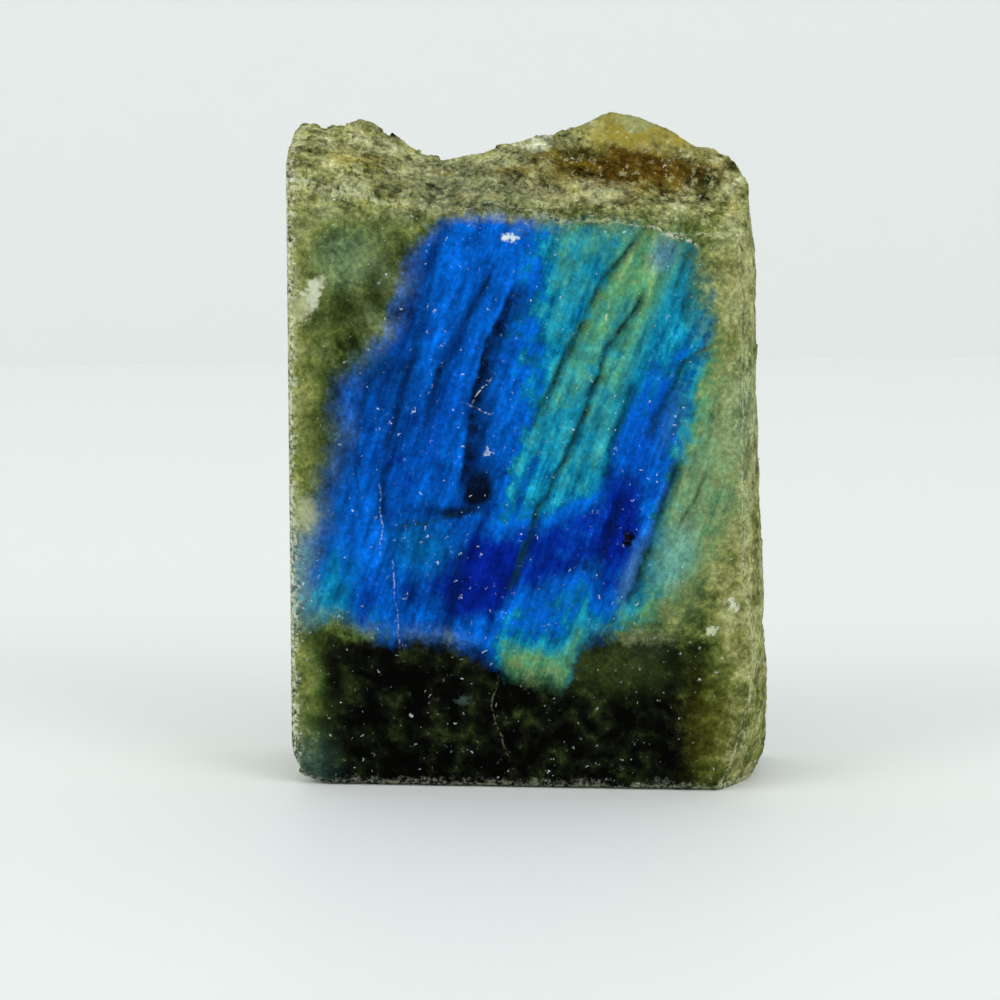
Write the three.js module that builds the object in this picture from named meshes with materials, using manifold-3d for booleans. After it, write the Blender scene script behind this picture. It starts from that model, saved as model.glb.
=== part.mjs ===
// A freestanding labradorite slab, one stone. Its face is sawn flat and polished, its base, back and
// left side are sawn, and its top and right side are the natural break. Millimetres, +Z up, the
// polished face towards -Y, the origin on the table under the middle of the stone.

import * as THREE from 'three';
import { mergeVertices } from 'three/addons/utils/BufferGeometryUtils.js';
import Module from 'manifold-3d';

const slabWidth = 51.4;
const slabDepth = 18;
const blankHeight = 76; // of the sawn blank, before its top breaks off
const edgeSoftness = 1.1; // how far the polishing wheel wore the long edges back
const baseCornerLeft = 4.6; // radius where the left side turns into the base
const baseCornerRight = 2.6;

const halfWidth = slabWidth / 2;
const frontY = -slabDepth / 2;
const backY = slabDepth / 2;

// The break across the top as seven lines from the polished face to the back. A row is x, then the
// line's depth and height there. The first five lines show from the front.
const lipLine = [
  [-25.7, frontY, 63.3], [-21, frontY, 63], [-17, frontY, 62.5], [-13.6, frontY, 62.6],
  [-10.4, frontY, 61.8], [-7.3, frontY, 62], [-4.1, frontY, 62.7], [-1, frontY, 61.6],
  [2.2, frontY, 61], [8.5, frontY, 61.1], [11.6, frontY, 60.5], [14.8, frontY, 59.9],
  [17.4, frontY, 59.5], [20, frontY, 59.6], [25.7, frontY, 60],
];
const shelfLine = [
  [-25.7, -8.4, 66.7], [-21, -8.1, 66.3], [-17, -7.6, 65.3], [-13.6, -6.8, 64.2],
  [-10, -6.4, 63.4], [-7, -6.2, 63.6], [-4, -6.2, 64.4], [-1, -6.1, 63.8], [2, -6, 63.2],
  [5, -5.8, 63.4], [8.5, -5.4, 64.2], [12, -5.2, 63.4], [15, -5.4, 62.6], [18, -5.8, 62],
  [25.7, -6.6, 61.8],
];
const hollowLine = [
  [-25.7, -7.2, 67.7], [-21, -6.6, 67.5], [-17, -5.6, 66.9], [-14, -4.6, 65.4], [-10, -4, 64.6],
  [-7, -4, 65], [-4, -4.2, 65.8], [-1, -4, 66], [2, -3, 65.8], [5, -1.8, 65.6],
  [8.5, -1.2, 65.2], [12, -1.2, 64.6], [15, -1.4, 64], [18, -1.8, 63], [21, -3.2, 62.4],
  [25.7, -5, 62],
];
const browLine = [
  [-25.7, -5.8, 68.9], [-22.5, -5.2, 68.8], [-20.6, -4.6, 68.2], [-17.8, -3.8, 67.6],
  [-14, -2.8, 66.6], [-10, -2, 66], [-7, -1.8, 66.2], [-4, -1.8, 66.8], [-1, -1.8, 67.6],
  [2, -1.6, 68], [4.2, -1, 68.2], [8.5, -0.6, 68.8], [12, -0.6, 68.3], [14.7, -0.7, 67.4],
  [18, -1, 66.1], [21, -2.2, 64.2], [25.7, -3.4, 62.8],
];
const crestLine = [
  [-25.7, 0, 70.3], [-25, 0.3, 70.8], [-23.8, 0.5, 70.9], [-22.5, 0.5, 70.4], [-20, 0.5, 71.1],
  [-18.2, 0.5, 71.7], [-17.3, 0.5, 71.4], [-16.5, 0.5, 70.3], [-14.7, 0.8, 69.5], [-13, 1, 68.2],
  [-11.2, 1.2, 67.3], [-10, 1.2, 66.9], [-8.4, 1.2, 67.1], [-4.3, 1, 68], [-2.4, 0.8, 68.7],
  [0, 0.5, 69.9], [2.5, 0.5, 69.8], [4.2, 0.8, 70.5], [6.8, 1.5, 71.7], [8.5, 1.6, 71.8],
  [10, 1.6, 71.6], [12.8, 1.2, 70.8], [15, 1, 69.9], [16.7, 0.6, 68.6], [17.4, 0.3, 68.1],
  [18.8, 0, 68], [20.1, 0, 67.4], [21.4, 0, 66.8], [22.4, -0.3, 65.6], [25.7, -1, 62.5],
];
const shoulderLine = [
  [-25.7, 4.8, 69.4], [-21, 5.6, 70], [-17, 5.2, 70.2], [-13, 4.4, 66.8], [-9, 5.2, 65.7],
  [-4, 6, 66.9], [1, 5.4, 68.9], [6, 6.2, 70.2], [11, 5.6, 69.8], [15, 5, 68.7], [19, 4.6, 66.2],
  [25.7, 4, 62.4],
];
const backLine = [
  [-25.7, backY, 67.6], [-20, backY, 68.8], [-16, backY, 67], [-11, backY, 64.2], [-6, backY, 64.7],
  [-1, backY, 66.9], [4, backY, 67.3], [9, backY, 68.6], [14, backY, 66.7], [18, backY, 65.3],
  [25.7, backY, 60.4],
];
const breakLines = [lipLine, shelfLine, hollowLine, browLine, crestLine, shoulderLine, backLine];

// The right side: a row is z, then x at the polished face's edge, x where the side is widest, and
// how far behind the polished face that is.
const sideLine = [
  [0, 20.2, 24.6, 11], [2, 20.9, 25.3, 9.5], [4.7, 22, 25.7, 8], [7.9, 22.8, 25.7, 7],
  [10.4, 23.5, 25.6, 6.5], [14.4, 23.9, 25.5, 6.5], [17.4, 23.6, 25.4, 6.5], [21, 22.9, 25.3, 6.5],
  [27.4, 22.4, 24.9, 6.5], [31.4, 22.5, 24.7, 6.5], [42.4, 22.4, 24.3, 6.5], [53, 22.2, 24, 6.5],
  [59.4, 21.7, 23.6, 6.5], [63, 21.4, 23.1, 6.5], [65.5, 21, 22.8, 6.5], [76, 20, 21.5, 6.5],
];
const sideBackTaper = 0.06; // how fast the side draws in again behind its widest line

// Unevenness of the broken faces, coarse to fine: spacing of the bumps and their height.
const bumps = [{ spacing: 4.3, height: 0.9 }, { spacing: 1.9, height: 0.5 }];
const sideEvenness = 0.5; // the side's bumps, as a share of the top's

const breakCells = [56, 30, 1];
const sideCells = [1, 22, 52];

// Hollows cut into the surface: centre, half sizes.
const hollows = [
  { name: 'chip in the left edge', at: [-25.3, -9.2, 51.8], radii: [2.9, 1.1, 2.7] },
  { name: 'chip in the right edge', at: [24.9, -4.5, 30.6], radii: [1.1, 2.4, 1] },
  { name: 'hole in the break', at: [-11.4, -8.6, 63.3], radii: [0.7, 1.3, 0.6] },
  { name: 'large pit in the face', at: [10.6, frontY, 27.6], radii: [0.5, 0.5, 0.8] },
  { name: 'small pit in the face', at: [6.1, frontY, 24.7], radii: [0.3, 0.35, 0.45] },
];

const wasm = await Module();
wasm.setup();

function toSolid(geometry) {
  geometry.deleteAttribute('normal');
  geometry.deleteAttribute('uv');
  const merged = mergeVertices(geometry, 1e-4);
  const vertProperties = new Float32Array(merged.attributes.position.array);
  const triVerts = new Uint32Array(merged.index.array);
  return new wasm.Manifold(new wasm.Mesh({ numProp: 3, vertProperties, triVerts }));
}

function toGeometry(solid) {
  const mesh = solid.getMesh();
  const geometry = new THREE.BufferGeometry();
  geometry.setAttribute('position', new THREE.BufferAttribute(mesh.vertProperties, 3));
  geometry.setIndex(new THREE.BufferAttribute(mesh.triVerts, 1));
  geometry.computeVertexNormals();
  return geometry;
}

// The values of a line, given as rows that start with a place, at any place along it.
function readLine(rows, place) {
  const last = rows.length - 1;
  if (place <= rows[0][0]) return rows[0].slice(1);
  if (place >= rows[last][0]) return rows[last].slice(1);
  const next = rows.findIndex((row) => row[0] > place);
  const [before, after] = [rows[next - 1], rows[next]];
  const share = (place - before[0]) / (after[0] - before[0]);
  return before.slice(1).map((value, i) => THREE.MathUtils.lerp(value, after[i + 1], share));
}

// A number from 0 to 1 that is fixed for each corner of a grid.
function cornerValue(column, row) {
  const scattered = Math.sin(column * 127.1 + row * 311.7) * 43758.5453;
  return scattered - Math.floor(scattered);
}

// Smooth bumps over a grid, from -0.5 to 0.5.
function smoothBumps(a, b) {
  const [column, row] = [Math.floor(a), Math.floor(b)];
  const across = THREE.MathUtils.smoothstep(a - column, 0, 1);
  const up = THREE.MathUtils.smoothstep(b - row, 0, 1);
  const low = THREE.MathUtils.lerp(cornerValue(column, row), cornerValue(column + 1, row), across);
  const high = THREE.MathUtils.lerp(cornerValue(column, row + 1), cornerValue(column + 1, row + 1), across);
  return THREE.MathUtils.lerp(low, high, up) - 0.5;
}

function unevenness(a, b) {
  return bumps.reduce((sum, { spacing, height }) => sum + height * smoothBumps(a / spacing, b / spacing), 0);
}

// Height of the broken top: from line to line at this x, front to back.
function breakHeight({ x, y }) {
  const profile = breakLines.map((line) => readLine(line, x));
  return readLine(profile, y)[0] + unevenness(x, y);
}

// How far right the broken side reaches.
function sideReach({ y, z }) {
  const [edgeX, widestX, widestDepth] = readLine(sideLine, z);
  const depth = y - frontY;
  const outward = Math.sin(THREE.MathUtils.clamp(depth / widestDepth, 0, 1) * Math.PI / 2);
  const inward = Math.max(depth - widestDepth, 0) * sideBackTaper;
  const rough = sideEvenness * Math.min(unevenness(y, z), 0);
  return THREE.MathUtils.lerp(edgeX, widestX, outward) - inward + rough;
}

function roundedOutline() {
  const outline = new THREE.Shape();
  outline.moveTo(-halfWidth + baseCornerLeft, 0);
  outline.lineTo(halfWidth - baseCornerRight, 0);
  outline.absarc(halfWidth - baseCornerRight, baseCornerRight, baseCornerRight, -Math.PI / 2, 0);
  outline.lineTo(halfWidth, blankHeight);
  outline.lineTo(-halfWidth, blankHeight);
  outline.lineTo(-halfWidth, baseCornerLeft);
  outline.absarc(-halfWidth + baseCornerLeft, baseCornerLeft, baseCornerLeft, Math.PI, 1.5 * Math.PI);
  return outline;
}

function sawnBlank() {
  const geometry = new THREE.ExtrudeGeometry(roundedOutline(), {
    depth: slabDepth - 2 * edgeSoftness,
    bevelThickness: edgeSoftness,
    bevelSize: edgeSoftness,
    bevelOffset: -edgeSoftness,
    bevelSegments: 4,
    curveSegments: 8,
  });
  geometry.rotateX(Math.PI / 2);
  geometry.translate(0, backY - edgeSoftness, 0);
  return toSolid(geometry);
}

// A box that is cut away: its low face along one axis follows a rough surface.
function roughCutter({ low, high, cells, axis, surface }) {
  const size = high.map((value, i) => value - low[i]);
  const geometry = new THREE.BoxGeometry(...size, ...cells);
  geometry.translate(...low.map((value, i) => value + size[i] / 2));
  const position = geometry.attributes.position;
  const point = new THREE.Vector3();
  for (let i = 0; i < position.count; i++) {
    point.fromBufferAttribute(position, i);
    const onLowFace = Math.abs(point.getComponent(axis) - low[axis]) < 1e-3;
    if (onLowFace) point.setComponent(axis, surface(point));
    position.setXYZ(i, point.x, point.y, point.z);
  }
  return toSolid(geometry);
}

function topBreak() {
  const past = 3;
  return roughCutter({
    low: [-halfWidth - past, frontY - past, 0],
    high: [halfWidth + past, backY + past, blankHeight + past],
    cells: breakCells,
    axis: 2,
    surface: breakHeight,
  });
}

function sideBreak() {
  const past = 2;
  return roughCutter({
    low: [0, frontY - past, -past],
    high: [halfWidth + past, backY + past, blankHeight + past],
    cells: sideCells,
    axis: 0,
    surface: sideReach,
  });
}

function hollow({ at, radii }) {
  const geometry = new THREE.SphereGeometry(1, 12, 8);
  geometry.scale(...radii);
  geometry.translate(...at);
  return toSolid(geometry);
}

function slab() {
  let stone = sawnBlank().subtract(topBreak()).subtract(sideBreak());
  for (const each of hollows) stone = stone.subtract(hollow(each));
  const labradorite = new THREE.MeshStandardMaterial({ color: 0x2c4a6e, roughness: 0.25, metalness: 0 });
  const mesh = new THREE.Mesh(toGeometry(stone), labradorite);
  mesh.name = 'slab';
  return mesh;
}

const labradoriteSlab = new THREE.Group();
labradoriteSlab.add(slab());

export default labradoriteSlab;
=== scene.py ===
import math
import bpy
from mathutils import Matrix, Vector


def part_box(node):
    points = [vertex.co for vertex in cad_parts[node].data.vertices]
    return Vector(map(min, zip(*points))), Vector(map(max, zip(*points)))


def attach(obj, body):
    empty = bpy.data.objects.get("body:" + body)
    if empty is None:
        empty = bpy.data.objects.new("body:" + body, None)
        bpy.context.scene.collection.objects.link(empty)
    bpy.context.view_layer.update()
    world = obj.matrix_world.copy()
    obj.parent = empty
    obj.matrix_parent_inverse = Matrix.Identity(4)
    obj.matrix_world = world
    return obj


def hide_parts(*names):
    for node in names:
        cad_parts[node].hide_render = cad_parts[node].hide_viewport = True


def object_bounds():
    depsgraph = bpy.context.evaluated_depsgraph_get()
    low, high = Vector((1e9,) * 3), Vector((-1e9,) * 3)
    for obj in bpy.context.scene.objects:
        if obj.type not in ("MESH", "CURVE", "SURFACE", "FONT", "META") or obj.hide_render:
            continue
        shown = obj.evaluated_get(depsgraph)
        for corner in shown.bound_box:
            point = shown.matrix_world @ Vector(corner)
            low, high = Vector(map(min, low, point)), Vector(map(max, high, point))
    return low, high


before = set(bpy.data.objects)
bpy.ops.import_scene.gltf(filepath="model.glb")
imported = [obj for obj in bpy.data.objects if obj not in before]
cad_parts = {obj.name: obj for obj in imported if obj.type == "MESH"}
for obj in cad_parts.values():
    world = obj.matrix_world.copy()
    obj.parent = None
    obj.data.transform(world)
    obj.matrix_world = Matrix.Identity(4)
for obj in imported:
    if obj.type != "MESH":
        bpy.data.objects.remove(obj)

from types import SimpleNamespace

import bmesh
import bpy
import numpy as np
from mathutils import Vector

millimetre = 0.001
cadBounds = [list(corner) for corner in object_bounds()]
print("frame loaded")


# The stone's surface: a remesh of the modelled solid, carved where it is broken and left flat
# where it was sawn and polished. Lengths are in millimetres.

stone = {
    "voxel": 0.24,              # size of the remesh that the break is carved on
    "triangleLimit": 185000,
    "coarseFacet": (2.7, 0.42),  # size of a broken facet and how far it stands out
    "fineFacet": (1.0, 0.18),
    "swell": (3.4, 0.3),
    "grit": (0.45, 0.10),
    "edgeWear": (1.5, 0.2),
    "sideCalm": 0.4,            # how much of the carving the right-hand side gets
    "lump": (11.5, 70.5, 7.5, 3.2),   # the smooth waxy lump: x, z, half width, half height
    "lumpCalm": 0.3,
}


def latticeRandom(cells, seed):
    # one fixed number from 0 to 1 for every whole-numbered cell
    mixed = (cells * np.array([73856093, 19349663, 83492791])).sum(axis=-1) + seed * 2654435761
    mixed = mixed.astype(np.uint64) & np.uint64(0xFFFFFFFF)
    for shift, factor in ((16, 0x45D9F3B), (16, 0x45D9F3B), (16, 1)):
        mixed = ((mixed >> np.uint64(shift)) ^ mixed) * np.uint64(factor) & np.uint64(0xFFFFFFFF)
    return mixed.astype(float) / 0xFFFFFFFF


def softNoise(points, spacing, seed):
    # smooth bumps from -1 to 1
    scaled = points / spacing
    cell = np.floor(scaled).astype(np.int64)
    part = scaled - cell
    part = part * part * (3 - 2 * part)
    total = np.zeros(len(points))
    for corner in np.ndindex(2, 2, 2):
        share = np.prod(np.where(corner, part, 1 - part), axis=1)
        total += share * latticeRandom(cell + corner, seed)
    return 2 * total - 1


def facetNoise(points, spacing, seed):
    # flat tilted facets with steps between them, from about -1 to 1
    scaled = points / spacing
    cell = np.floor(scaled).astype(np.int64)
    nearest = np.full(len(points), 9.0)
    facet = np.zeros(len(points))
    for step in np.ndindex(3, 3, 3):
        other = cell + np.array(step) - 1
        jitter = np.stack([latticeRandom(other, seed + k) for k in range(3)], axis=1)
        gap = scaled - other - jitter
        distance = (gap * gap).sum(axis=1)
        tilt = np.stack([latticeRandom(other, seed + k) for k in (3, 4, 5)], axis=1) - 0.5
        level = latticeRandom(other, seed + 6) - 0.5
        value = level + 1.6 * (gap * tilt).sum(axis=1)
        closer = distance < nearest
        nearest = np.where(closer, distance, nearest)
        facet = np.where(closer, value, facet)
    return facet


def smoothStep(low, high, value):
    share = np.clip((value - low) / (high - low), 0, 1)
    return share * share * (3 - 2 * share)


def meshPoints(mesh):
    flat = np.empty(len(mesh.vertices) * 3, np.float32)
    mesh.vertices.foreach_get("co", flat)
    return flat.reshape(-1, 3).astype(float) / millimetre


def meshNormals(mesh):
    flat = np.empty(len(mesh.vertices) * 3, np.float32)
    mesh.vertices.foreach_get("normal", flat)
    return flat.reshape(-1, 3).astype(float)


def withModifier(piece, kind, **settings):
    modifier = piece.modifiers.new(kind.title(), kind)
    for name, value in settings.items():
        setattr(modifier, name, value)
    shaped = piece.evaluated_get(bpy.context.evaluated_depsgraph_get())
    mesh = bpy.data.meshes.new_from_object(shaped)
    piece.modifiers.remove(modifier)
    piece.data = mesh


def mergedCopy(node, name):
    mesh = bpy.data.meshes.new(name)
    shape = bmesh.new()
    shape.from_mesh(node.data)
    bmesh.ops.remove_doubles(shape, verts=shape.verts, dist=0.001 * millimetre)
    shape.to_mesh(mesh)
    shape.free()
    piece = bpy.data.objects.new(name, mesh)
    bpy.context.collection.objects.link(piece)
    return piece


def sawnDistances(points, low, high):
    # how far each point lies inside the four sawn faces: front, back, left and base
    x, y, z = points.T
    return np.sort(np.stack([y - low.y, high.y - y, x - low.x, z - low.z]), axis=0)


def storeValues(mesh, name, values):
    attribute = mesh.attributes.new(name, "FLOAT", "POINT")
    attribute.data.foreach_set("value", values.astype(np.float32))


def carveBreak(piece, low, high):
    points = meshPoints(piece.data)
    normals = meshNormals(piece.data)
    distances = sawnDistances(points, low, high)
    broken = smoothStep(0.2, 0.9, distances[0])
    coarse = facetNoise(points, stone["coarseFacet"][0], 11) * stone["coarseFacet"][1]
    fine = facetNoise(points, stone["fineFacet"][0], 23) * stone["fineFacet"][1]
    swell = softNoise(points, stone["swell"][0], 31) * stone["swell"][1]
    grit = softNoise(points, stone["grit"][0], 41) * stone["grit"][1]
    x, y, z = points.T
    lumpX, lumpZ, lumpWide, lumpHigh = stone["lump"]
    onLump = smoothStep(1.15, 0.85, np.hypot((x - lumpX) / lumpWide, (z - lumpZ) / lumpHigh))
    onSide = smoothStep(20, 22.5, x) * smoothStep(66, 63, z)
    calm = (1 - onLump * (1 - stone["lumpCalm"])) * (1 - onSide * (1 - stone["sideCalm"]))
    relief = coarse + fine + grit
    edge = smoothStep(1.1, 0.3, distances[1]) * (1 - broken)
    wear = np.maximum(softNoise(points, stone["edgeWear"][0], 53), 0) * stone["edgeWear"][1]
    offset = broken * calm * (relief + swell) - edge * wear
    points += normals * offset[:, None]
    piece.data.vertices.foreach_set("co", (points * millimetre).astype(np.float32).ravel())
    piece.data.update()
    storeValues(piece.data, "broken", broken)
    storeValues(piece.data, "relief", broken * calm * relief)


def makeSlab():
    low, high = [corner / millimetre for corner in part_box("slab")]
    slab = mergedCopy(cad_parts["slab"], "labradorite_slab")
    withModifier(slab, "REMESH", mode="VOXEL", voxel_size=stone["voxel"] * millimetre)
    print("remeshed", len(slab.data.polygons))
    carveBreak(slab, low, high)
    triangles = 2 * len(slab.data.polygons)
    if triangles > stone["triangleLimit"]:
        withModifier(slab, "DECIMATE", ratio=stone["triangleLimit"] / triangles)
    print("slab carved", len(slab.data.polygons))
    slab.data.polygons.foreach_set("use_smooth", [True] * len(slab.data.polygons))
    return slab


# Shader building: sockets that can be added and multiplied, and the helpers that the finish uses.

class Flow:
    # one shader socket; an expression of them adds Math nodes
    tree = None

    def __init__(self, socket):
        self.socket = socket

    @staticmethod
    def node(kind, settings, values, output=0):
        made = Flow.tree.nodes.new("ShaderNode" + kind)
        for name, value in settings.items():
            if name == "stops":
                setStops(made.color_ramp, value)
            elif name == "smooth":
                made.color_ramp.interpolation = "B_SPLINE"
            elif name == "line":
                setLine(made.mapping, value)
            else:
                setattr(made, name, value)
        for name, value in values.items():
            if isinstance(value, Flow):
                Flow.tree.links.new(value.socket, made.inputs[name])
            else:
                made.inputs[name].default_value = value
        return Flow(made.outputs[output])

    def output(self, name):
        # another output of the same node
        return Flow(self.socket.node.outputs[name])

    def __add__(self, other):
        return Flow.node("Math", {"operation": "ADD"}, {0: self, 1: other})

    def __radd__(self, other):
        return Flow.node("Math", {"operation": "ADD"}, {0: other, 1: self})

    def __sub__(self, other):
        return Flow.node("Math", {"operation": "SUBTRACT"}, {0: self, 1: other})

    def __rsub__(self, other):
        return Flow.node("Math", {"operation": "SUBTRACT"}, {0: other, 1: self})

    def __mul__(self, other):
        return Flow.node("Math", {"operation": "MULTIPLY"}, {0: self, 1: other})

    def __rmul__(self, other):
        return Flow.node("Math", {"operation": "MULTIPLY"}, {0: other, 1: self})


def setStops(ramp, stops):
    while len(ramp.elements) < len(stops):
        ramp.elements.new(1)
    for element, (position, colour) in zip(ramp.elements, stops):
        element.position = position
        element.color = colour


def setLine(mapping, points):
    mapping.use_clip = False
    curve = mapping.curves[0]
    while len(curve.points) < len(points):
        curve.points.new(0, 0)
    for point, (position, value) in zip(curve.points, sorted(points)):
        point.location = (position, value)
        point.handle_type = "VECTOR"
    mapping.update()


def linear(channel):
    channel = channel / 255
    return channel / 12.92 if channel <= 0.04045 else ((channel + 0.055) / 1.055) ** 2.4


def colour(name):
    return (*[linear(channel) for channel in tints[name]], 1)


def rise(value, low, high):
    # nothing at low, all at high, and smooth between them
    steps = [(low + (high - low) * part, part * part * (3 - 2 * part)) for part in (0, 0.25, 0.5, 0.75, 1)]
    return curve(value, sorted(steps))


def blend(share, first, second):
    return Flow.node("Mix", {"data_type": "RGBA"}, {0: share, 6: first, 7: second}, 2)


def shade(paint, amount):
    # the paint made lighter or darker by a number
    grey = Flow.node("CombineColor", {}, {0: amount, 1: amount, 2: amount})
    return Flow.node("Mix", {"data_type": "RGBA", "blend_type": "MULTIPLY"}, {0: 1, 6: paint, 7: grey}, 2)


def channel(paint, index):
    # the red, green or blue of a paint as a number
    return Flow.node("SeparateColor", {}, {0: paint}, index)


def line(value, points):
    return Flow.node("FloatCurve", {"line": points}, {1: value})


def curve(value, points):
    # a line with level ends
    (low, first), (high, last) = points[0], points[-1]
    return line(value, [(low - 1, first), *points, (high + 1, last)])


def cloud(place, size, detail=3.0, roughness=0.5, output=0):
    values = {0: place, 2: 1 / size, 3: detail, 4: roughness}
    return Flow.node("TexNoise", {}, values, output)


def cells(place, size):
    return Flow.node("TexVoronoi", {}, {0: place, 2: 1 / size})


def stretched(place, factors):
    return Flow.node("VectorMath", {"operation": "MULTIPLY"}, {0: place, 1: factors})


def leaned(place):
    # the place turned so that the stone's leaning bands stand upright
    turn = math.radians(bandLean)
    across = alongWay(place, (math.cos(turn), 0, -math.sin(turn)))
    along = alongWay(place, (math.sin(turn), 0, math.cos(turn)))
    return Flow.node("CombineXYZ", {}, {0: across, 2: along})


def alongWay(place, way):
    return Flow.node("VectorMath", {"operation": "DOT_PRODUCT"}, {0: place, 1: way}, 1)


def ellipse(place, x, z, wide, high, edge):
    # 1 inside a soft ellipse and 0 outside it
    values = {0: place, 1: (1 / wide, 0, 1 / high), 2: (-x / wide, 0, -z / high)}
    inside = Flow.node("VectorMath", {"operation": "MULTIPLY_ADD"}, values)
    reach = Flow.node("VectorMath", {"operation": "LENGTH"}, {0: inside}, 1)
    return rise(reach, 1 + edge, 1 - edge)




bandLean = 20        # degrees, how far the flashing bands lean to the right
faceDepth = cadBounds[0][1] / millimetre     # y of the polished face, mm

tints = {
    "ink": (4, 5, 3),
    "peat": (16, 20, 9),
    "loam": (36, 46, 18),
    "moss": (64, 80, 36),
    "olive": (90, 102, 52),
    "reed": (112, 120, 62),
    "sage": (122, 148, 112),
    "fog": (116, 142, 136),
    "slate": (40, 66, 66),
    "khaki": (134, 136, 82),
    "sand": (150, 152, 102),
    "dune": (170, 173, 130),
    "bone": (200, 203, 178),
    "frost": (214, 228, 230),
    "ash": (124, 128, 94),
    "dusk": (64, 70, 46),
    "brass": (146, 132, 52),
    "tobacco": (106, 88, 24),
    "rust": (80, 58, 12),
    "bronze": (70, 70, 18),
    "navy": (3, 24, 60),
    "indigo": (3, 32, 140),
    "royal": (2, 46, 152),
    "cobalt": (2, 70, 166),
    "azure": (2, 90, 190),
    "electric": (3, 102, 216),
    "harbour": (12, 60, 108),
    "peacock": (6, 110, 160),
    "cyan": (20, 144, 178),
    "steel": (38, 98, 132),
    "pine": (10, 48, 48),
    "fern": (28, 78, 50),
    "teal": (46, 148, 160),
    "lagoon": (80, 156, 158),
    "seaGreen": (70, 154, 136),
    "leaf": (88, 150, 104),
    "grass": (124, 158, 106),
    "haze": (72, 124, 168),
}
# The stone itself: clouds from dark to pale, paler towards its two sides and dark at its foot.
body = {
    "clouds": [(0, "ink"), (0.15, "peat"), (0.3, "loam"), (0.44, "moss"), (0.56, "olive"), (0.68, "reed"),
               (0.8, "khaki"), (0.95, "sand")],
    "middle": 0.47,                     # how pale it is before anything else
    "swing": 0.8,                       # how much the clouds change it
    "leftSide": (-21, -24.5, 0.22),     # from x, to x, how much paler
    "rightSide": (16.5, 22.5, 0.36),
    "upper": (46, 56, 0.06),            # from z, to z, how much paler
    "footHeight": (17.5, 15),
    "footLeft": (-24.5, -19.5),
    "footRight": (23.5, 16.5),
    "footDark": 0.4,
    "patchDepth": (7, 1.5),             # the patches fade out over this depth
    "backShare": 0.85,                  # how far the plain tints take over on the back
    "haze": (0.52, 0.7, 0.2, 0.05),     # from and to in the clouds, share in front and on the back
    "hazeHeight": (17, 22),
    # tint, x, z, half width, half height, leaning, edge, strength
    "patches": [
        ("sage", -19, 57, 3.4, 2.6, False, 0.8, 0.5),       # grey-green haze high on the left
        ("fog", -24.2, 24.8, 2.2, 4.6, False, 0.8, 0.75),   # blue-grey haze on the left edge
        ("slate", -24.5, 2.5, 3, 3.2, False, 0.7, 0.8),
        ("loam", -19.4, 51.3, 2.2, 2, False, 0.8, 0.7),
        ("bronze", 20, 7, 2.6, 7, False, 0.8, 0.7),
        ("moss", 9, 13.5, 5, 2.4, False, 0.9, 0.5),
        ("ash", 12.2, 16.8, 2.6, 0.6, False, 0.8, 0.5),
        ("sage", 19.5, 34, 3.2, 13, True, 0.7, 0.7),        # the pale strip right of the flash
        ("loam", -20.8, 40, 1.5, 7, False, 0.8, 0.55),      # shade left of the flash
        ("loam", -15.4, 54.5, 1.8, 5, True, 0.8, 0.75),
    ],
}
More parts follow.
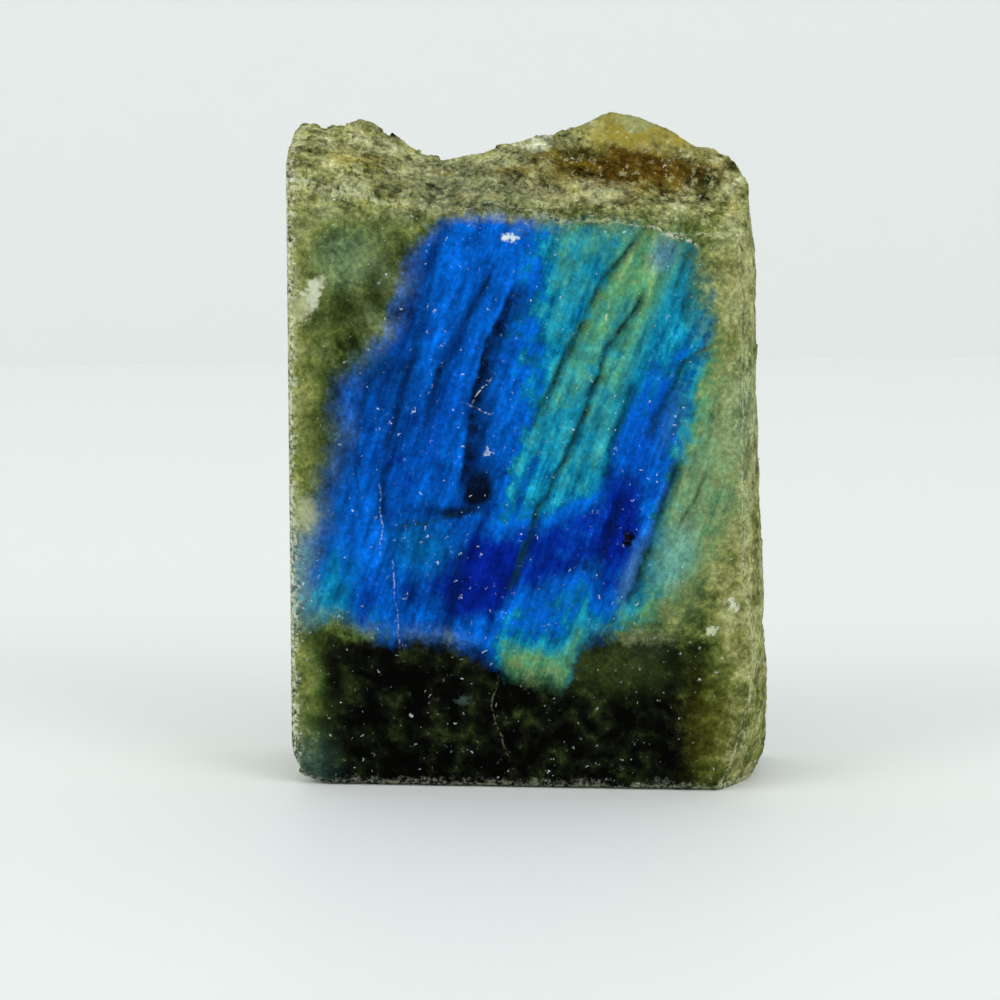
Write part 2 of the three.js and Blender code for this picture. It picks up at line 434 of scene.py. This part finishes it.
# The flash: bands of thin layers. The thicker the layers, the further the colour goes from
# indigo to green, so each band has one number for its foot and one for its top.
flash = {
    "scale": [(0, "indigo"), (0.1, "royal"), (0.2, "cobalt"), (0.3, "azure"), (0.4, "electric"),
              (0.5, "peacock"), (0.58, "cyan"), (0.66, "teal"), (0.74, "seaGreen"), (0.83, "leaf"),
              (0.92, "grass"), (1, "reed")],
    "footHeight": 20,
    "topHeight": 58,
    # points up the band's left edge, how soft it is, thickness at its foot and top
    "bands": [
        (None, 0, 0.46, 0.3),
        ([(-19.2, 14), (-19.6, 24), (-20, 34), (-17.5, 46)], 0.8, 0.31, 0.2),
        ([(-13.8, 14), (-15.8, 29), (-15.7, 33), (-12.8, 46), (-11, 63)], 0.6, 0.2, 0.31),
        ([(-8.8, 14), (-7.4, 25), (-11.8, 33), (-11.6, 38), (-9.6, 45.4), (-2, 60)], 0.35, 0.26, 0.34),
        ([(-6.6, 14), (-7.2, 30), (-6.5, 37.8), (-4.1, 49), (0.1, 60)], 0.3, 0.2, 0.4),
        ([(-3.5, 14), (-3.2, 30), (-0.4, 45), (2.8, 62)], 1.8, 0.22, 0.68),
        ([(-3.4, 12), (-3, 31), (0.2, 39.2), (5.2, 50.1), (11.6, 60.1)], 0.3, 0.34, 0.86),
        ([(-3, 12), (-0.8, 27), (3.3, 34.1), (8.3, 47.8), (14, 58)], 0.25, 0.46, 0.84),
        ([(5, 14), (9, 29.9), (8, 34.1), (11.1, 44.7), (16.4, 60)], 0.7, 0.1, 0.66),
        ([(10.6, 20.8), (14.5, 32.2), (19.5, 50)], 1.2, 0.62, 1),
        ([(13.6, 20), (16.6, 32), (20.4, 46), (21.6, 52)], 1.2, 0.88, 1),
    ],
    "belt": [(-20, 20), (-8, 22), (0, 25), (9, 29)],   # the middle of a belt of deep blue
    "beltHalf": (5.5, 1.5),
    "beltLeft": (-11, -4),
    "beltRight": (14, 8),
    "beltDip": 0.44,
    "fringeHeight": (5.5, 1),                # greener along the lower end
    "fringeGain": 0.12,
    "fringeMiddle": (-6, -1, 12, 8),
    "fringeMiddleGain": 0.36,
    "cloudy": 0.5,                           # how much clouds and streaks change the thickness
    "streaky": 0.45,
    "edgeSway": 5,                           # mm that the clouds move the bands' edges by
    "softer": 0.4,                           # mm added to every band edge's softness
    "depth": (2.2, 0.8),                     # the flash lies on the polished face only
    "softLeft": (-2.2, 2.2),                 # how softly each side of the outline fades, mm
    "softRight": (2.8, -2.8),
    "softTop": (1.5, -1.5),
    "softBottom": (-1.6, 1.6),
    "seams": [
        ("navy", [(-3.7, 56.3), (-6.3, 51.6), (-9.6, 45.4), (-11.3, 38.7)], 0.6, 1.2, 0.7),
        ("navy", [(-1.5, 54.2), (-4.1, 49), (-5.6, 43.5), (-7.2, 33)], 0.5, 3.4, 0.93),
        ("pine", [(11.6, 60.1), (7.3, 54.4), (2.6, 44.2), (0.2, 39.2)], 0.6, 1.3, 0.8),
        ("pine", [(12, 53.5), (8.3, 47.8), (4.7, 37.8), (0.9, 30.3), (-2, 21.5)], 0.5, 1, 0.85),
        ("navy", [(11.1, 44.7), (9.5, 40.1), (7.8, 34.1)], 0.6, 1, 0.66),
        ("navy", [(9.7, 31.8), (7.8, 25.6), (7.1, 22.2)], 0.8, 1.1, 0.76),
        ("pine", [(20, 48.5), (16.4, 46.6), (12.6, 38.5)], 0.5, 1.2, 0.66),
        ("pine", [(15.7, 35.6), (12.6, 26), (10.7, 20.8)], 0.8, 1.65, 0.76),
        ("navy", [(-7, 27), (-8.6, 17)], 1, 1, 0.66),
        ("navy", [(-12.5, 47), (-15.6, 34), (-15.4, 29)], 0.8, 1.1, 0.6),
        ("navy", [(-16.9, 45), (-18.6, 37), (-18.2, 30)], 0.7, 0.8, 0.45),
        ("navy", [(-9.4, 60), (-11, 52), (-12.6, 46)], 0.6, 0.9, 0.45),
        ("fern", [(18.8, 34.6), (16.1, 28.7)], 0.4, 0.45, 0.57),
        ("fern", [(17.1, 58.7), (15.2, 53.5)], 0.3, 0.45, 0.66),
    ],
    "patches": [
        ("harbour", -21.5, 32, 1.8, 6, False, 0.8, 0.6),    # the flash is dim along its left edge
        ("peacock", -20.5, 22, 2.6, 3.4, False, 0.8, 0.6),
        ("royal", -17.2, 20.6, 1.4, 2.4, False, 0.8, 0.7),
        ("peacock", -11.5, 26.2, 2.8, 2.6, False, 0.9, 0.6),
        ("navy", -14.4, 43.5, 2, 4.4, True, 0.9, 0.5),
        ("navy", -12.6, 53, 1, 4.6, True, 0.9, 0.4),
        ("royal", -9.6, 40, 1.4, 6, True, 0.9, 0.5),
        ("pine", -18, 46, 3, 2, False, 0.8, 0.6),
        ("electric", -17.2, 31.2, 1.5, 2.4, False, 0.8, 0.8),
        ("electric", -6.3, 56.4, 1.1, 2.4, True, 0.9, 0.7),
        ("haze", -4.5, 62.6, 3.4, 1.1, False, 0.8, 0.7),    # pale upper rims
        ("haze", 14.3, 58, 1.3, 1.8, True, 0.8, 0.7),
        ("fern", 18.4, 55.6, 1.6, 4, True, 0.7, 0.7),
        ("steel", 15.6, 40.5, 1.2, 3.2, True, 0.8, 0.7),
        ("indigo", 9.2, 33.2, 1.2, 1.5, True, 0.8, 0.7),
        ("lagoon", 15.6, 25.5, 1.8, 3.4, True, 0.8, 0.8),
        ("sage", 17.6, 33, 1.8, 9, True, 0.9, 0.6),
        ("royal", 12.4, 38, 1.6, 6, True, 0.9, 0.5),
        ("haze", 11.1, 23.6, 0.8, 3.6, True, 0.8, 0.7),
        ("ink", -5.4, 32.5, 1.5, 2.3, True, 0.35, 0.97),    # a dark gap and its tail
        ("ink", -7.6, 30.1, 2.6, 0.55, False, 0.6, 0.85),
    ],
    # the outline: x at each z on the sides, then z at each x along the upper and lower ends
    "left": [(10, -24.5), (17, -24.8), (24, -23.8), (32, -21.8), (38, -19.8), (44.5, -19.4), (49.5, -14.5),
             (54, -13.2), (64, -12)],
    "right": [(10, 8), (14, 6.5), (18, 13), (24, 18.5), (34, 21.5), (46, 20), (60, 17.5)],
    "top": [(-24, 45), (-20, 46), (-15.5, 50), (-13, 57.5), (-8, 61.5), (-5, 63.3), (-1.5, 61.2), (15, 60),
            (19, 57), (22, 50)],
    "bottom": [(-25, 17.5), (-20.5, 19), (-16, 16.8), (-8.5, 16.7), (-5.5, 15.2), (-1, 12.6), (3.8, 11.8),
               (6.3, 16.6), (17, 19.5), (24, 27)],
}
# The broken top: pale crystal with a brown hollow under a waxy lump.
crown = {
    "clouds": [(0.36, "olive"), (0.45, "khaki"), (0.52, "sand"), (0.6, "dune")],
    "patches": [
        ("ash", -6.5, 64.3, 7.5, 2.6, False, 0.7, 0.85),
        ("loam", -8.5, 65.6, 1.8, 0.5, False, 0.9, 0.6),
        ("loam", -13.6, 64.6, 1.2, 0.6, False, 0.9, 0.5),
        ("moss", -4, 62.6, 6, 1, False, 0.9, 0.5),
        ("reed", -19, 62.7, 6, 1.1, False, 0.8, 0.7),
        ("brass", -18.4, 67.6, 2.6, 0.9, False, 0.8, 0.6),
        ("tobacco", 10.6, 66, 9.8, 2.6, False, 0.5, 0.92),
        ("rust", 11.6, 66.6, 7, 1.5, False, 0.7, 0.9),
        ("rust", 17.9, 65.7, 2.6, 1, False, 0.8, 0.8),
        ("brass", 11.5, 70, 6.6, 1.4, False, 0.5, 0.9),
        ("sand", 12, 71.5, 6, 0.7, False, 0.7, 0.8),
        ("tobacco", 2.6, 67.4, 2.6, 0.7, False, 0.7, 0.8),
        ("dune", 7.6, 64.2, 2.6, 1, False, 0.9, 0.8),
        ("bone", 0.6, 69, 1.2, 1.1, False, 0.8, 0.8),
        # painted shade: these loam patches darken crevices of the break
        ("loam", 18.5, 61.1, 1.5, 0.8, False, 0.8, 0.8),
        ("loam", 18.2, 64.8, 1.8, 1, False, 0.8, 0.7),      # painted shade in the darkest crevices
        ("loam", 4.6, 67.7, 1.6, 0.5, False, 0.8, 0.7),
        ("tobacco", -2, 66.2, 2.6, 0.6, False, 0.8, 0.7),
    ],
}
marks = {
    # lines that run upward: tint, points, left width, right width, strength
    "scratches": [
        ("frost", [(-15.9, 32.7), (-15.7, 30), (-15.8, 26)], 0.1, 0.1, 0.4),
        ("frost", [(-14.5, 24.8), (-14.3, 22), (-13.8, 16)], 0.11, 0.11, 0.35),
        ("bone", [(8.3, 52.2), (8.3, 50.8)], 0.14, 0.14, 0.9),
        ("sand", [(22, 9), (21.4, 3)], 0.2, 0.4, 0.6),
        ("ash", [(-3.3, 12), (-3.9, 9), (-2.2, 3.5)], 0.16, 0.16, 0.35),
        ("frost", [(-4.2, 44.3), (-5.4, 42.6)], 0.14, 0.14, 0.8),
    ],
    # lines that run across: tint, points, width, strength
    "cracks": [
        ("pine", [(-15.4, 28.1), (-9.6, 29.5), (-7, 30.2)], 0.5, 0.85),
        ("navy", [(-19.8, 36.5), (-14.9, 37.8)], 0.4, 0.6),
        ("navy", [(-3.2, 33.9), (-1.2, 34.8)], 0.35, 0.7),
        ("navy", [(-12, 56.5), (-9.5, 56.1), (-8, 57)], 0.3, 0.5),
        ("pine", [(11.4, 45.7), (15.7, 46.2), (20, 47.4)], 0.5, 0.6),
        ("loam", [(9.5, 16.9), (19.7, 16.8)], 0.35, 0.7),
        ("loam", [(-25, 69), (-18, 68.1), (-15.5, 67)], 0.35, 0.7),
        ("bone", [(12.9, 60.5), (16.5, 59.3), (17.6, 58.6)], 0.35, 0.8),
        ("frost", [(-6.3, 41.6), (-4.2, 40.8)], 0.14, 0.8),
    ],
    "patches": [
        ("frost", -4.2, 36.6, 0.3, 0.2, False, 0.5, 0.6),
        ("frost", -1.8, 59.4, 0.8, 0.4, False, 0.5, 0.95),
        ("bone", -22.9, 53.2, 1, 1.8, True, 0.35, 0.9),     # the white chip
        ("dune", -24.3, 51.7, 1.2, 1.2, False, 0.5, 0.85),
        ("dune", -23.9, 29.6, 1.2, 1.4, False, 0.7, 0.6),
        ("bone", 21.6, 20.7, 0.45, 0.65, False, 0.5, 0.9),
        ("bone", 19.8, 17.6, 0.5, 0.25, False, 0.5, 0.8),
        ("ink", 10.8, 27.6, 0.65, 0.85, False, 0.3, 0.97),  # the round pit, painted black as the shade inside it
        ("navy", 6.3, 24.5, 0.7, 0.7, False, 0.7, 0.7),
        ("fog", -6.7, 9.7, 0.6, 0.4, False, 0.8, 0.2),
    ],
}
# tints of the stone where no flash shows, by the darkness of its clouds
plainStone = [(0.34, "peat"), (0.45, "loam"), (0.55, "dusk"), (0.72, "olive")]


def ramp(value, stops):
    return Flow.node("ValToRGB", {"stops": [(at, colour(name)) for at, name in stops]}, {0: value})


def patched(paint, flat, patches):
    upright, leaning = flat
    turn = math.radians(bandLean)
    for name, x, z, wide, high, leans, edge, strength in patches:
        if leans:
            across = x * math.cos(turn) - z * math.sin(turn)
            along = x * math.sin(turn) + z * math.cos(turn)
            share = ellipse(leaning, across, along, wide, high, edge)
        else:
            share = ellipse(upright, x, z, wide, high, edge)
        paint = blend(share if strength == 1 else share * strength, paint, colour(name))
    return paint


def swapped(points):
    return [(second, first) for first, second in points]


def flashPaint(flat, x, z, cloudy, streaky):
    # how thick the layers are, band by band, and the colour that thickness flashes
    up = (z - flash["footHeight"]) * (1 / (flash["topHeight"] - flash["footHeight"]))
    thickness = None
    for left, soft, foot, top in flash["bands"]:
        climbing = up * (top - foot) + foot
        if left is None:
            thickness = climbing
        else:
            soft = soft + flash["softer"]
            share = rise(x + cloudy * flash["edgeSway"] - line(z, swapped(left)), -soft, soft)
            thickness = thickness + (climbing - thickness) * share
    off = z - line(x, flash["belt"])
    outer, inner = flash["beltHalf"]
    belt = rise(off, -outer, -inner) * rise(off, outer, inner)
    belt = belt * rise(x, *flash["beltLeft"]) * rise(x, *flash["beltRight"])
    left, leftFull, right, rightFull = flash["fringeMiddle"]
    middle = rise(x, left, leftFull) * rise(x, right, rightFull)
    fringe = rise(z - line(x, flash["bottom"]), *flash["fringeHeight"])
    fringe = fringe * (middle * flash["fringeMiddleGain"] + flash["fringeGain"])
    thickness = thickness - belt * flash["beltDip"] + fringe
    thickness = thickness + cloudy * flash["cloudy"] + streaky * flash["streaky"]
    paint = patched(ramp(thickness, flash["scale"]), flat, flash["patches"])
    return upwardLines(paint, x, z, flash["seams"], cloudy * 2.5 + 1)


def upwardLines(paint, x, z, lines, whole=1):
    for name, points, leftWide, rightWide, strength in lines:
        beyond = x - line(z, swapped(points))
        low = min(height for across, height in points)
        high = max(height for across, height in points)
        share = curve(beyond, [
            (-leftWide, 0), (-leftWide * 0.35, strength * 0.6), (0, strength),
            (rightWide * 0.15, strength), (rightWide * 0.45, strength * 0.65), (rightWide, 0),
        ])
        share = share * curve(z, [(low - 1, 0), (low + 0.8, 1), (high - 0.8, 1), (high + 1, 0)])
        paint = blend(share * whole, paint, colour(name))
    return paint


def acrossLines(paint, x, z, lines, whole):
    for name, points, wide, strength in lines:
        above = z - line(x, points)
        left, right = points[0][0], points[-1][0]
        share = curve(above, [(-wide, 0), (0, strength), (wide, 0)])
        share = share * curve(x, [(left - 0.3, 0), (left + 0.5, 1), (right - 0.5, 1), (right + 0.3, 0)])
        paint = blend(share * whole, paint, colour(name))
    return paint


def flashShare(x, z):
    inner = rise(x - line(z, flash["left"]), *flash["softLeft"])
    inner = inner * rise(x - line(z, flash["right"]), *flash["softRight"])
    inner = inner * rise(z - line(x, flash["top"]), *flash["softTop"])
    return inner * rise(z - line(x, flash["bottom"]), *flash["softBottom"])


def specks(place, size, reach):
    # scattered dots of uneven size
    nearest = cells(place, size)
    chance = channel(nearest.output("Color"), 0)
    return Flow.node("MapRange", {}, {0: nearest, 1: reach * chance, 2: reach * chance * 0.5})


def spread(place, factors, steps):
    return Flow.node("VectorMath", {"operation": "MULTIPLY_ADD"}, {0: place, 1: factors, 2: steps})


# The finish over the whole stone. Lengths are in millimetres. Clouds run from 0 to 1 about a
# middle of 0.5.
finish = {
    "drift": (3.0, 0.6),              # size of the soft sway of every outline, and how far it goes
    "driftDeeper": 0.4,               # how much more it sways with each millimetre of depth
    "ripple": (1.1, 5, 0.7, 1.7),     # the finer sway: size, detail, roughness, how far
    "mottle": (2.2, 7, 0.7),          # size, detail and roughness of each cloud
    "billow": (4.5, 3, 0.55),
    "ruffle": (1.3, 4, 0.65),
    "grain": (0.5, 3, 0.7),
    "wide": (9, 6, 0.6),
    "lamella": (1, 5, 0.65),
    "layers": (1, 4, 0.65),
    "ruffleStretch": (1, 1, 0.6),
    "lamellaStretch": (1 / 1.5, 1 / 3, 1 / 12),
    "layerStretch": (0.3, 0.5, 1.2),
    "tatter": (0.35, (1.1, 1.1, 0.7)),
    "crumbAndGlint": (0.9, 0.18),             # size of the cells and of the white dots in them, which are partly crumbs and partly painted glints
    "needleAndGlint": (0.5, 0.19),
    "needleAndGlintStretch": (1, 1, 0.35),
    "facet": 0.75,
    "backDepth": (4, 12),
    "crownHeight": (60.6, 62.8),
    "lump": (11.5, 70.6, 6.6, 2.2, 0.35),   # the smooth waxy lump
    "brightness": 1.12,
    "roughness": 0.3,
    "brokenRoughness": 0.3,
    "gloss": 0.015,
    "bumpStrength": 0.6,
    "bumpHeight": 0.12,
}


def swing(middle, clouds, amount):
    # a number that goes up and down about a middle with the clouds
    return middle + (clouds - 0.5) * amount


def stoneClouds(place):
    leaning = leaned(place)
    size, reach = finish["tatter"]
    return SimpleNamespace(
        mottle=cloud(place, *finish["mottle"]),
        billow=cloud(place, *finish["billow"]),
        ruffle=cloud(stretched(leaning, finish["ruffleStretch"]), *finish["ruffle"]),
        grain=cloud(place, *finish["grain"]),
        lamella=cloud(stretched(leaning, finish["lamellaStretch"]), *finish["lamella"]),
        layers=cloud(stretched(leaning, finish["layerStretch"]), *finish["layers"]),
        wide=cloud(place, *finish["wide"]),
        tattered=spread(cloud(place, size, 2, output=1), reach, place),
    )


def swayedPlaces(place, depth):
    # two flat copies of the place: one softly swayed for bands, one rippled too for ragged outlines
    size, far = finish["drift"]
    drift = spread(cloud(place, size, 2, output=1), (2 * far, 0, 2 * far), (-far, 0, -far))
    deeper = 1 + finish["driftDeeper"] * depth
    drift = Flow.node("VectorMath", {"operation": "SCALE"}, {0: drift, 3: deeper})
    size, detail, roughness, far = finish["ripple"]
    ripple = cloud(place, size, detail, roughness, output=1)
    ripple = spread(ripple, (2 * far, 0, 2 * far), (-far, 0, -far))
    even = Flow.node("VectorMath", {"operation": "MULTIPLY_ADD"}, {0: place, 1: (1, 0, 1), 2: drift})
    uneven = Flow.node("VectorMath", {"operation": "ADD"}, {0: even, 1: ripple})
    return flatPlace(even), flatPlace(uneven)


def flatPlace(place):
    # x and z apart, then the flat place itself, upright and leaning
    x = Flow.node("SeparateXYZ", {}, {0: place}, 0)
    z = x.output("Z")
    upright = Flow.node("CombineXYZ", {}, {0: x, 2: z})
    return x, z, (upright, leaned(upright))


def stonePaint(x, z, flat, depth, back, clouds):
    # the stone under the flash: pale at its sides, dark at its foot, plain on its back
    foot = rise(z, *body["footHeight"]) * rise(x, *body["footLeft"]) * rise(x, *body["footRight"])
    pale = body["middle"] - foot * body["footDark"]
    for along, (start, end, gain) in ((x, body["leftSide"]), (x, body["rightSide"]), (z, body["upper"])):
        pale = pale + rise(along, start, end) * gain
    pale = pale + (clouds.billow - 0.5) * body["swing"] + (clouds.mottle - 0.5) * body["swing"]
    paint = ramp(pale, body["clouds"])
    near = rise(depth, *body["patchDepth"])
    paint = blend(near, paint, patched(paint, flat, body["patches"]))
    paint = blend(back * body["backShare"], paint, ramp(clouds.wide, plainStone))
    start, end, inFront, behind = body["haze"]
    haze = rise(clouds.billow, start, end) * rise(z, *body["hazeHeight"])
    paint = blend(haze * (inFront - (inFront - behind) * back), paint, colour("sage"))
    return shade(paint, swing(0.95, clouds.mottle, 2.4) * swing(1, clouds.grain, 1.8))


def glowPaint(x, z, flat, clouds):
    # the flash with its streaks of light and shade
    glow = flashPaint(flat, x, z, clouds.mottle - 0.5, clouds.lamella - 0.5)
    light = 0.86 + (clouds.ruffle - 0.5) * 1.8 + (clouds.billow - 0.5) * 0.8
    return shade(glow, light * swing(0.95, clouds.lamella, 2.1) * swing(1, clouds.grain, 0.8))


def crownPaint(x, flat, rough, clouds):
    # the broken top, smoother and calmer on the lump, where rough is low, with painted light and shade of
    # its fracture steps
    top = ramp(clouds.mottle * 0.6 + clouds.billow * 0.4, crown["clouds"])
    top = patched(top, flat, crown["patches"])
    top = blend(rise(clouds.billow, 0.5, 0.62) * rise(x, 6, 2) * 0.3, top, colour("ash"))
    top = blend(rise(clouds.layers, 0.52, 0.66) * rough * 0.45, top, colour("tobacco"))
    # painted light and shade: the clouds and layers lighten and darken the top like lit and shaded
    # fracture steps, as well as varying its own tone
    relief = (clouds.mottle - 0.5) * 3.4 + (clouds.layers - 0.5) * 3.6
    return shade(top, (1.02 + relief * rough) * (1 + (clouds.grain - 0.5) * 2 * rough))


def withFacetLightAndShade(paint, rough, onTop, broken, clouds):
    # painted highlights and painted shade on small crystal faces, as if they caught the light or lay in
    # the dark, on every broken surface
    facets = channel(cells(clouds.tattered, finish["facet"]).output("Color"), 1)
    facetLightShare = rise(clouds.ruffle, 0.42, 0.54) * rough * (onTop + (1 - onTop) * broken)
    lit = rise(facets, 0.74, 0.86) * facetLightShare * rise(clouds.grain, 0.42, 0.54) * 0.6
    # painted highlight: facets that would catch the light are turned pale
    paint = blend(lit, paint, colour("dune"))
    # painted shade: facets that would lie in the dark are turned dark
    return blend(rise(facets, 0.30, 0.14) * facetLightShare * 0.5, paint, colour("peat"))


def withCrumbledEdges(paint, x, z, depth, broken, clouds):
    # along the left side, where the polish meets the break, and a little at the base
    left = rise(x, -24.5, -25.4) * rise(depth, 2.0, 0.6) * 0.8
    edge = left + broken * (1 - broken) * 1.4 + rise(z, 1.2, 0.4) * 0.25
    return blend(edge * rise(clouds.grain, 0.42, 0.58), paint, colour("bone"))


def withMarks(paint, even, uneven, front, back, clouds):
    # painted glints and painted shade in pits of the crystal, then scratches, cracks, crumbs and needles
    # that are partly painted glints, and single marks
    z, flat = uneven[1:]
    lively = 0.25 + 0.75 * rise(z, 58, 63)
    # painted glints: pale specks where light would catch the crystal
    glints = rise(clouds.grain, 0.62, 0.72) * rise(clouds.mottle, 0.5, 0.6) * lively
    paint = blend(glints, paint, colour("bone"))
    # painted shade: dark specks where shade would lie in small pits
    pitShade = rise(clouds.grain, 0.40, 0.30) * rise(clouds.mottle, 0.5, 0.42) * lively * 0.8
    paint = blend(pitShade, paint, colour("loam"))
    crumbly = rise(clouds.grain, 0.44, 0.56) * front
    evenX, evenZ = even[:2]
    paint = upwardLines(paint, evenX, evenZ, marks["scratches"], crumbly)
    paint = acrossLines(paint, evenX, evenZ, marks["cracks"], crumbly)
    # white specks that are partly real crumbs and needles and partly painted glints
    crumbsAndGlints = specks(clouds.tattered, *finish["crumbAndGlint"])
    needlesAndGlints = specks(stretched(leaned(clouds.tattered), finish["needleAndGlintStretch"]), *finish["needleAndGlint"])
    crumbsAndGlints = crumbsAndGlints * rise(clouds.billow, 0.45, 0.55) * (0.75 - 0.45 * back)
    paint = blend(crumbsAndGlints, paint, colour("frost"))
    paint = blend(needlesAndGlints * rise(clouds.billow, 0.52, 0.42) * 0.6, paint, colour("frost"))
    return blend(front, paint, patched(paint, flat, marks["patches"]))


def labradoriteFinish():
    material = bpy.data.materials.new("polishedLabradorite")
    material.use_nodes = True
    Flow.tree = material.node_tree
    shader = material.node_tree.nodes["Principled BSDF"]
    place = Flow.node("TexCoord", {}, {}, "Object")
    place = Flow.node("VectorMath", {"operation": "SCALE"}, {0: place, 3: 1 / millimetre})
    depth = Flow.node("SeparateXYZ", {}, {0: place}, 1) - faceDepth
    even, uneven = swayedPlaces(place, depth)
    clouds = stoneClouds(place)
    broken = Flow.node("Attribute", {"attribute_name": "broken"}, {}, "Fac")
    evenX, evenZ, evenFlat = even
    x, z, flat = uneven
    front = rise(depth, *flash["depth"])
    back = rise(depth, *finish["backDepth"])

    paint = stonePaint(x, z, flat, depth, back, clouds)
    paint = blend(flashShare(x, z) * front, paint, glowPaint(evenX, evenZ, evenFlat, clouds))
    rough = 1 - 0.8 * ellipse(evenFlat[0], *finish["lump"])
    onTop = rise(z, *finish["crownHeight"]) * (1 - back * (1 - broken))
    paint = blend(onTop, paint, crownPaint(x, flat, rough, clouds))
    paint = withFacetLightAndShade(paint, rough, onTop, broken, clouds)
    paint = withCrumbledEdges(paint, x, z, depth, broken, clouds)
    paint = withMarks(paint, even, uneven, front, back, clouds)
    paint = shade(paint, swing(finish["brightness"], clouds.grain, 0.8))

    links = Flow.tree.links
    links.new(paint.socket, shader.inputs["Base Color"])
    roughness = finish["roughness"] + finish["brokenRoughness"] * broken
    links.new(roughness.socket, shader.inputs["Roughness"])
    height = finish["bumpHeight"] * millimetre
    values = {"Height": clouds.grain * broken, "Strength": finish["bumpStrength"], "Distance": height}
    bump = Flow.node("Bump", {}, values)
    links.new(bump.socket, shader.inputs["Normal"])
    shader.inputs["Specular IOR Level"].default_value = finish["gloss"]
    return material


camera = {
    "target": (-2.97, -9.0, 31.5),   # mm, the middle of the view on the polished face
    "distance": 350.0,
    "azimuth": 4.0,
    "elevation": 9.0,
    "lens": 118.4,
    "sensor": 36.0,
}
room = {
    "wallLeft": (-142.9, 374.3),      # mm, where the wall meets the floor
    "wallRight": (83.6, 408.1),
    "reach": 1500.0,
    "height": 900.0,
}


def makeCamera():
    target = Vector(camera["target"]) * millimetre
    turn = math.radians(camera["azimuth"])
    lift = math.radians(camera["elevation"])
    back = Vector((math.sin(turn) * math.cos(lift), -math.cos(turn) * math.cos(lift), math.sin(lift)))
    data = bpy.data.cameras.new("camera")
    data.lens = camera["lens"]
    data.sensor_width = camera["sensor"]
    data.clip_start = 0.01
    view = bpy.data.objects.new("camera", data)
    view.location = target + back * camera["distance"] * millimetre
    view.rotation_euler = (-back).to_track_quat("-Z", "Y").to_euler()
    bpy.context.collection.objects.link(view)
    bpy.context.scene.camera = view


def plainSheet(name, corners):
    mesh = bpy.data.meshes.new(name)
    mesh.from_pydata([Vector(corner) * millimetre for corner in corners], [], [(0, 1, 2, 3)])
    sheet = bpy.data.objects.new(name, mesh)
    bpy.context.collection.objects.link(sheet)
    return sheet


def plainMaterial(name, paint, roughness):
    material = bpy.data.materials.new(name)
    material.use_nodes = True
    shader = material.node_tree.nodes["Principled BSDF"]
    shader.inputs["Base Color"].default_value = (*paint, 1)
    shader.inputs["Roughness"].default_value = roughness
    return material


def makeRoom():
    left, right = Vector(room["wallLeft"]), Vector(room["wallRight"])
    along = (right - left).normalized() * room["reach"]
    far, near = right + along, left - along
    reach = room["reach"]
    floor = plainSheet("floor", [(-reach, -reach, 0), (reach, -reach, 0), (*far, 0), (*near, 0)])
    wall = plainSheet("wall", [(*near, 0), (*far, 0), (*far, room["height"]), (*near, room["height"])])
    floor.data.materials.append(plainMaterial("paleFloor", (0.93, 0.95, 0.935), 0.6))
    wall.data.materials.append(plainMaterial("paleWall", (0.86, 0.875, 0.865), 0.8))


def softbox(name, place, aim, size, power):
    data = bpy.data.lights.new(name, "AREA")
    data.shape = "SQUARE"
    data.size = size * millimetre
    data.energy = power
    lamp = bpy.data.objects.new(name, data)
    lamp.location = Vector(place) * millimetre
    lamp.rotation_euler = (Vector(aim) - Vector(place)).to_track_quat("-Z", "Y").to_euler()
    bpy.context.collection.objects.link(lamp)


def makeLight():
    softbox("leftSoftbox", (-650, -540, 640), (0, 0, 35), 500, 2.0)
    softbox("rightSoftbox", (650, -540, 640), (0, 0, 35), 500, 2.0)
    world = bpy.data.worlds.new("paleRoom")
    world.use_nodes = True
    world.node_tree.nodes["Background"].inputs["Color"].default_value = (0.94, 0.98, 0.97, 1)
    world.node_tree.nodes["Background"].inputs["Strength"].default_value = 0.74
    bpy.context.scene.world = world
    bpy.context.scene.view_settings.view_transform = "Standard"


makeCamera()
makeRoom()
makeLight()
slab = makeSlab()
slab.data.materials.clear()
slab.data.materials.append(labradoriteFinish())
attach(slab, "root")
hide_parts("slab")
print("finish made", len(Flow.tree.nodes), "nodes")
